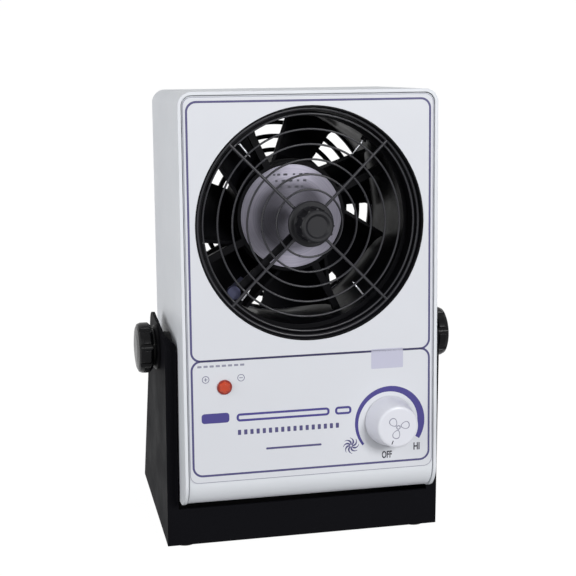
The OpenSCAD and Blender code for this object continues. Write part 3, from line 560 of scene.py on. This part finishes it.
def print_words():
    """The two words of the speed scale."""
    lettering("print_off", "OFF", DIAL_X - 1.4 * MM, DIAL_Z - 18.7 * MM, 5.2 * MM, 0.62)
    lettering("print_hi", "HI", DIAL_X + 15.3 * MM, DIAL_Z - 15.3 * MM, 5.4 * MM, 0.72)


def print_fan_label():
    """Rows of short dashes on the upper part of the fan's foil, where such labels are filled."""
    low, high = case_box("fan_label")
    x, z = middle_of(low, high)
    shortest, step, height = 1.3, 0.5, 1.1
    rows = (
        (22.6, (-9.4, -6.9, -3.2, 1.6, 5.4, 8.6)),
        (19.2, (-8.2, -4.4, -0.4, 3.8, 7.6)),
        (15.8, (-5.6, -1.2, 3.0, 6.0)),
    )
    p = Print(low.y, 0.03 * MM)
    for rise, places in rows:
        for k, place in enumerate(places):
            p.bar(x + place * MM, z + rise * MM, (shortest + step * (k % 3)) * MM, height * MM)
    p.done("print_fan_label", INK)


# ---------------------------------------------------------------- dial and lamp

def dial_sign():
    """Three outlined blades round a small hub, and a pointer tick, on the dial's face."""
    line, hub, first = 0.5 * MM, 1.2 * MM, 7
    out_by, aside_by, half_long, half_wide = 3.8 * MM, 0.5 * MM, 2.5 * MM, 2.6 * MM
    steps = 26
    p = Print(DIAL_LOW.y, 0.03 * MM)
    p.ring(DIAL_X, DIAL_Z, hub, line, 28)
    for k in range(3):
        base = math.radians(first + 120 * k)
        outer, inner = [], []
        for i in range(steps):
            t = 2 * math.pi * i / steps
            fuller = 0.78 + 0.22 * math.cos(t)
            for keep, shrink in ((outer, 0.0), (inner, line)):
                lx = out_by + (half_long - shrink) * math.cos(t)
                lz = aside_by + (half_wide - shrink) * math.sin(t) * fuller
                keep.append((DIAL_X + lx * math.cos(base) - lz * math.sin(base),
                             DIAL_Z + lx * math.sin(base) + lz * math.cos(base)))
        p.band(outer, inner)
    p.done("dial_sign", FAINT, "dial")

    turn, half_tick = math.radians(-112), 0.26 * MM
    out = Vector((math.cos(turn), math.sin(turn)))
    side = Vector((-out.y, out.x)) * half_tick
    near, far = out * 7.5 * MM, out * 9.6 * MM
    p = Print(DIAL_LOW.y, 0.03 * MM)
    p.face([(DIAL_X + q.x, DIAL_Z + q.y)
            for q in (near - side, far - side, far + side, near + side)])
    p.done("dial_pointer", INK, "dial")


def lamp_lens():
    """A six-sided faceted lens on a round rim, in place of the plain CAD dome."""
    radius = (LENS_HIGH.x - LENS_LOW.x) / 2
    count, facets, smooth, rim_rings = 48, 6, 400, 4
    first = math.radians(30)
    bm = bmesh.new()

    def loop(share, depth, sides):
        """A ring of corners, round or with few sides, at a share of the lens's radius."""
        out = []
        for i in range(count):
            a = 2 * math.pi * i / count + first
            part = (a - first) % (2 * math.pi / sides) - math.pi / sides
            r = radius * share * math.cos(math.pi / sides) / math.cos(part)
            out.append(bm.verts.new(CASE @ Vector((LENS_X + r * math.cos(a), depth,
                                                    LENS_Z + r * math.sin(a)))))
        return out

    rings = (
        (0.97, LENS_HIGH.y, smooth), (0.97, FACE - 0.1 * MM, smooth),
        (0.98, FACE - 0.6 * MM, smooth), (0.90, FACE - 0.95 * MM, smooth),
        (0.84, FACE - 1.0 * MM, facets), (0.80, FACE - 1.5 * MM, facets),
        (0.52, FACE - 2.3 * MM, facets), (0.46, FACE - 2.38 * MM, facets),
    )
    loops = [loop(*ring) for ring in rings]
    for k, (a, b) in enumerate(zip(loops, loops[1:])):
        for i in range(count):
            j = (i + 1) % count
            f = bm.faces.new((a[i], a[j], b[j], b[i]))
            f.material_index = 1 if k < rim_rings else 0
    bm.faces.new(loops[-1])
    bm.faces.new(list(reversed(loops[0])))
    obj = placed("lamp_lens", meshed("lamp_lens", bm), LAMP, LAMP_RIM)
    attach(obj, "housing")
    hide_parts("indicator_lens")


# ---------------------------------------------------------------- modelled forms

# Each stands for a CAD node whose solid is plainer than the photograph's form.

SHARP_ANGLE = math.radians(32)


def modelled(name, bm, material, body, node):
    """A modelled piece that stands for a CAD node, smooth but for its sharp edges."""
    for face in bm.faces:
        face.smooth = True
    mesh = meshed(name, bm)
    mesh.set_sharp_from_angle(angle=SHARP_ANGLE)
    obj = placed(name, mesh, material)
    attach(obj, body)
    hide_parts(node)


def circle(radius, steps):
    """Offsets round a circle, as pairs."""
    turns = [2 * math.pi * i / steps for i in range(steps)]
    return [(radius * math.cos(a), radius * math.sin(a)) for a in turns]


def skin(bm, rings, closed=False):
    """Quads between rings of as many corners each, capped at its ends or closed on itself."""
    pairs = list(zip(rings, rings[1:]))
    if closed:
        pairs.append((rings[-1], rings[0]))
    for a, b in pairs:
        for i in range(len(a)):
            bm.faces.new((a[i - 1], a[i], b[i], b[i - 1]))
    if not closed:
        bm.faces.new(rings[0])
        bm.faces.new(list(reversed(rings[-1])))


def slab(bm, loops, start, end):
    """A plate between two x values, from closed outlines in y and z; later ones are holes."""
    edges = []
    for loop in loops:
        ring = [bm.verts.new((start, y, z)) for y, z in loop]
        edges += [bm.edges.new((ring[i - 1], ring[i])) for i in range(len(ring))]
    filled = bmesh.ops.triangle_fill(bm, edges=edges, use_beauty=True)["geom"]
    faces = [f for f in filled if isinstance(f, bmesh.types.BMFace)]
    for part in bmesh.ops.extrude_face_region(bm, geom=faces)["geom"]:
        if isinstance(part, bmesh.types.BMVert):
            part.co.x = end


def filleted(points, radii, steps=10):
    """A closed outline with each corner rounded to its radius."""
    out = []
    for i, (corner, radius) in enumerate(zip(points, radii)):
        here = Vector(corner)
        before = (Vector(points[i - 1]) - here).normalized()
        after = (Vector(points[(i + 1) % len(points)]) - here).normalized()
        half = before.angle(after) / 2
        middle = here + (before + after).normalized() * radius / math.sin(half)
        start = here + before * radius / math.tan(half) - middle
        sweep = (here + after * radius / math.tan(half) - middle).angle_signed(start)
        for k in range(steps + 1):
            a = sweep * k / steps
            out.append((middle.x + start.x * math.cos(a) - start.y * math.sin(a),
                        middle.y + start.x * math.sin(a) + start.y * math.cos(a)))
    return out


def stand():
    """The pressed stand: a tray with a tall front wall, and two flat-topped arms with flanges."""
    low, high = (Vector(v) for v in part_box("stand_bracket"))
    steel, wall, lip, fold = 1.5 * MM, 20 * MM, 8 * MM, 0.7 * MM
    flange, corner, rise, half_top = 6 * MM, 8 * MM, 12.8 * MM, 25.5 * MM
    front_end, rear_end, taper = 9.6 * MM, -16 * MM, 4 * MM
    bore, sunk = 3.04 * MM, 0.3 * MM
    half_depth = (high.y - low.y) / 2
    arm_y = half_top - corner
    arm_z = PIVOT.z + rise - corner
    run = half_depth - arm_y
    lean = (math.acos(corner / math.hypot(run, arm_z - low.z))
            - math.atan2(arm_z - low.z, run))

    def edge(z, inset):
        """Distance of the arm's sloping edge from the pivot's middle plane, at a height."""
        return arm_y + (corner - inset - (z - arm_z) * math.sin(lean)) / math.cos(lean)

    def outline(inset):
        """The arm seen from the side: rounded above, with a tight fold at the floor."""
        base, top = low.z + inset, PIVOT.z + rise - inset
        radii = (corner - inset, corner - inset, fold, fold)
        sharp = ((-edge(top, inset), top), (edge(top, inset), top),
                 (edge(base, inset), base), (-edge(base, inset), base))
        return [(PIVOT.y + y, z) for y, z in filleted(sharp, radii)]

    outer, inner = outline(0), outline(steel)
    corner_count = len(outer) // 4
    hole = [(PIVOT.y + y, PIVOT.z + z) for y, z in circle(bore, 36)]
    bm = bmesh.new()
    for side in (-1, 1):
        outside = side * high.x
        inside = side * (high.x - steel)
        rim = side * (high.x - flange)
        slab(bm, (outer, hole), outside, inside)
        rings = []
        ends = [[(PIVOT.y - edge(low.z + wall, t), low.z + wall)]
                + (outer if t == 0 else inner)[:corner_count] for t in (0, steel)]
        for (y0, z0), (y1, z1) in zip(*ends):
            in0, in1 = (min(1.0, max(0.0, (z - PIVOT.z - front_end) / taper)) for z in (z0, z1))
            rings.append([bm.verts.new(v) for v in (
                (rim + (inside - rim) * in0, y0, z0), (rim + (inside - rim) * in1, y1, z1),
                (inside, y1, z1), (inside, y0, z0))])
        skin(bm, rings)
        skin(bm, [[bm.verts.new((x, PIVOT.y + edge(z, t), z)) for x, t in (
            (x0, 0), (x0, steel), (inside, steel), (inside, 0))]
            for z, x0 in ((low.z + lip, rim), (PIVOT.z + rear_end, rim),
                          (PIVOT.z + rear_end + taper, inside - side * sunk))])
    bottom_out, bottom_in = outer[2 * corner_count:], inner[2 * corner_count:]
    tray = ([(PIVOT.y + edge(low.z + lip, 0), low.z + lip)] + bottom_out
            + [(PIVOT.y - edge(low.z + wall, 0), low.z + wall),
               (PIVOT.y - edge(low.z + wall, steel), low.z + wall)]
            + list(reversed(bottom_in)) + [(PIVOT.y + edge(low.z + lip, steel), low.z + lip)])
    slab(bm, (tray,), low.x + steel, high.x - steel)
    modelled("stand_pressing", bm, STAND_BLACK, "stand", "stand_bracket")


def pivot_rings():
    """The pressure discs and rubber spacers either side of the arms, hidden by the knobs."""
    bore = 3.2 * MM
    for side, end in ((-1, "left"), (1, "right")):
        for kind, radius, edge, material, body, slot in (
                ("disc", 12 * MM, 0.8 * MM, PLASTIC_BLACK, "clamp_" + end, "black_plastic"),
                ("spacer", 8 * MM, 0.4 * MM, RUBBER, "housing", "black_rubber")):
            node = kind + "_" + end
            low, high = (Vector(v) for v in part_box(node))
            near, far = sorted((abs(low.x), abs(high.x)))
            bm = bmesh.new()
            profile = ((near, bore), (near, radius), (far - edge, radius),
                       (far, radius - edge), (far, bore))
            skin(bm, [[bm.verts.new((side * x, PIVOT.y + y, PIVOT.z + z))
                       for y, z in circle(r, 64)] for x, r in profile], closed=True)
            modelled("pivot_" + node, bm, material, body, node)


def rotor():
    """The fan's rotor: a cup with seven cambered blades that widen towards their tips."""
    low, high = case_box("fan_rotor")
    centre = TO_CASE @ Vector(JOINTS["fan_spin"]["pos_m"])
    points = [TO_CASE @ v.co for v in NODES["fan_rotor"].data.vertices]
    tip = max(math.hypot(p.x - centre.x, p.z - centre.z) for p in points)
    hub, wall, back, shaft = 31 * MM, 3 * MM, 2.5 * MM, 2.1 * MM
    sunk, shortest = 0.5 * MM, 0.2 * MM
    count, phase, pitch = 7, math.radians(19.6), math.radians(38)
    half, bend, thick = 22.4 * MM, 31.6 * MM, 1.8 * MM
    lead, trail = math.radians(37.6), math.radians(16.9)
    middle = (low.y + high.y) / 2
    bm = bmesh.new()

    def place(radius, angle, depth):
        """A corner at a radius and turn about the fan's axis."""
        return bm.verts.new(CASE @ Vector((centre.x + radius * math.cos(angle), depth,
                                           centre.z + radius * math.sin(angle))))

    cup = ((low.y, hub - wall), (low.y, hub), (high.y, hub), (high.y, shaft),
           (high.y - back, shaft), (high.y - back, hub - wall))
    skin(bm, [[place(r, math.pi * i / 48, d) for i in range(96)] for d, r in cup],
         closed=True)
    sag = math.sqrt(bend ** 2 - half ** 2)
    spans, along = 24, 8
    for k in range(count):
        turn = phase + 2 * math.pi * k / count
        rings = []
        for i in range(spans + 1):
            s = half * (2 * i / spans - 1)
            face = []
            for off in (thick / 2, -thick / 2):
                u = s * (bend + off) / bend
                q = math.sqrt(bend ** 2 - s ** 2) * (bend + off) / bend - sag
                aside = u * math.cos(pitch) + q * math.sin(pitch)
                depth = middle + q * math.cos(pitch) - u * math.sin(pitch)
                root = max(hub - sunk, aside / math.sin(lead), -aside / math.sin(trail))
                root = min(root, tip - shortest)
                face.append([(root + (tip - root) * j / along, aside, depth)
                             for j in range(along + 1)])
            ring = face[0] + list(reversed(face[1]))
            rings.append([place(r, turn + math.asin(a / r), d) for r, a, d in ring])
        skin(bm, rings)
    modelled("fan_blades", bm, ROTOR_BLACK, "rotor", "fan_rotor")


# ---------------------------------------------------------------- room

def seen_directly(nodes, links):
    """1 for the rays that show the backdrop: from the camera, off gloss and through glass."""
    path = nodes.new("ShaderNodeLightPath")
    value = path.outputs["Is Camera Ray"]
    for ray in ("Is Glossy Ray", "Is Transmission Ray"):
        either = nodes.new("ShaderNodeMath")
        either.operation = "MAXIMUM"
        links.new(value, either.inputs[0])
        links.new(path.outputs[ray], either.inputs[1])
        value = either.outputs[0]
    return value


def make_floor():
    """A pale bench top that shows nearly white, with a faint shadow where the stand touches."""
    width, glow_level, glow_share = 8, 1.12, 0.88
    bpy.ops.mesh.primitive_plane_add(size=width, location=(0, 0, 0))
    floor = bpy.context.object
    floor.name = "floor"
    mat = bpy.data.materials.new("floor")
    mat.use_nodes = True
    nodes, links = mat.node_tree.nodes, mat.node_tree.links
    out = nodes["Material Output"]
    bsdf = nodes["Principled BSDF"]
    bsdf.inputs["Base Color"].default_value = (0.34, 0.34, 0.35, 1)
    bsdf.inputs["Roughness"].default_value = 0.8
    glow = nodes.new("ShaderNodeEmission")
    glow.inputs["Color"].default_value = (1, 1, 1, 1)
    glow.inputs["Strength"].default_value = glow_level
    scale = nodes.new("ShaderNodeMath")
    scale.operation = "MULTIPLY"
    scale.inputs[1].default_value = glow_share
    links.new(seen_directly(nodes, links), scale.inputs[0])
    mix = nodes.new("ShaderNodeMixShader")
    links.new(scale.outputs[0], mix.inputs[0])
    links.new(bsdf.outputs[0], mix.inputs[1])
    links.new(glow.outputs[0], mix.inputs[2])
    links.new(mix.outputs[0], out.inputs["Surface"])
    floor.data.materials.append(mat)


def make_world():
    """A white backdrop, and a weaker even light on the object."""
    world = bpy.data.worlds.new("room")
    bpy.context.scene.world = world
    world.use_nodes = True
    nodes, links = world.node_tree.nodes, world.node_tree.links
    back = nodes["Background"]
    back.inputs["Color"].default_value = (0.93, 0.95, 1.0, 1)
    back.inputs["Strength"].default_value = 0.24
    clear = nodes.new("ShaderNodeBackground")
    clear.inputs["Color"].default_value = (1, 1, 1, 1)
    mix = nodes.new("ShaderNodeMixShader")
    links.new(seen_directly(nodes, links), mix.inputs[0])
    links.new(back.outputs[0], mix.inputs[1])
    links.new(clear.outputs[0], mix.inputs[2])
    links.new(mix.outputs[0], nodes["World Output"].inputs["Surface"])


def softbox(name, place, target, size, watts):
    """A rectangular area light that looks at a point."""
    light = bpy.data.lights.new(name, "AREA")
    light.shape = "RECTANGLE"
    light.size, light.size_y = size
    light.energy = watts
    obj = bpy.data.objects.new(name, light)
    bpy.context.scene.collection.objects.link(obj)
    obj.location = place
    look = Vector(target) - Vector(place)
    obj.rotation_euler = look.to_track_quat("-Z", "Y").to_euler()


def make_lights():
    middle = (0, 0, CAD_BOX[1][2] * 0.5)
    softbox("key", (0.42, -1.25, 0.85), middle, (0.45, 0.45), 14.7)
    softbox("fill", (-1.2, -0.35, 0.5), middle, (0.8, 1.0), 7.4)
    softbox("top", (0.0, 0.1, 1.3), middle, (1.0, 0.8), 1.4)


def make_camera():
    """The viewing angle: from the object's left, a little above, with a slight roll."""
    place = Vector((-0.1874, -0.7048, 0.3979))
    yaw, pitch, roll = 0.255, 0.353, 0.041
    ahead = Vector((math.sin(yaw) * math.cos(pitch), math.cos(yaw) * math.cos(pitch),
                    -math.sin(pitch)))
    right = Vector((math.cos(yaw), -math.sin(yaw), 0))
    up = right.cross(ahead)
    side = right * math.cos(roll) + up * math.sin(roll)
    top = up * math.cos(roll) - right * math.sin(roll)
    data = bpy.data.cameras.new("camera")
    data.lens = 89.4
    data.sensor_width = 36
    data.clip_start = 0.01
    cam = bpy.data.objects.new("camera", data)
    bpy.context.scene.collection.objects.link(cam)
    cam.matrix_world = Matrix((
        (side.x, top.x, -ahead.x, place.x),
        (side.y, top.y, -ahead.y, place.y),
        (side.z, top.z, -ahead.z, place.z),
        (0, 0, 0, 1),
    ))
    bpy.context.scene.camera = cam


make_camera()
dress_nodes()
print_frames()
print_crescent()
print_swirl()
print_signs()
print_stripes()
print_words()
print_fan_label()
dial_sign()
lamp_lens()
stand()
pivot_rings()
rotor()
make_floor()
make_world()
make_lights()
bpy.context.scene.view_settings.view_transform = "Standard"
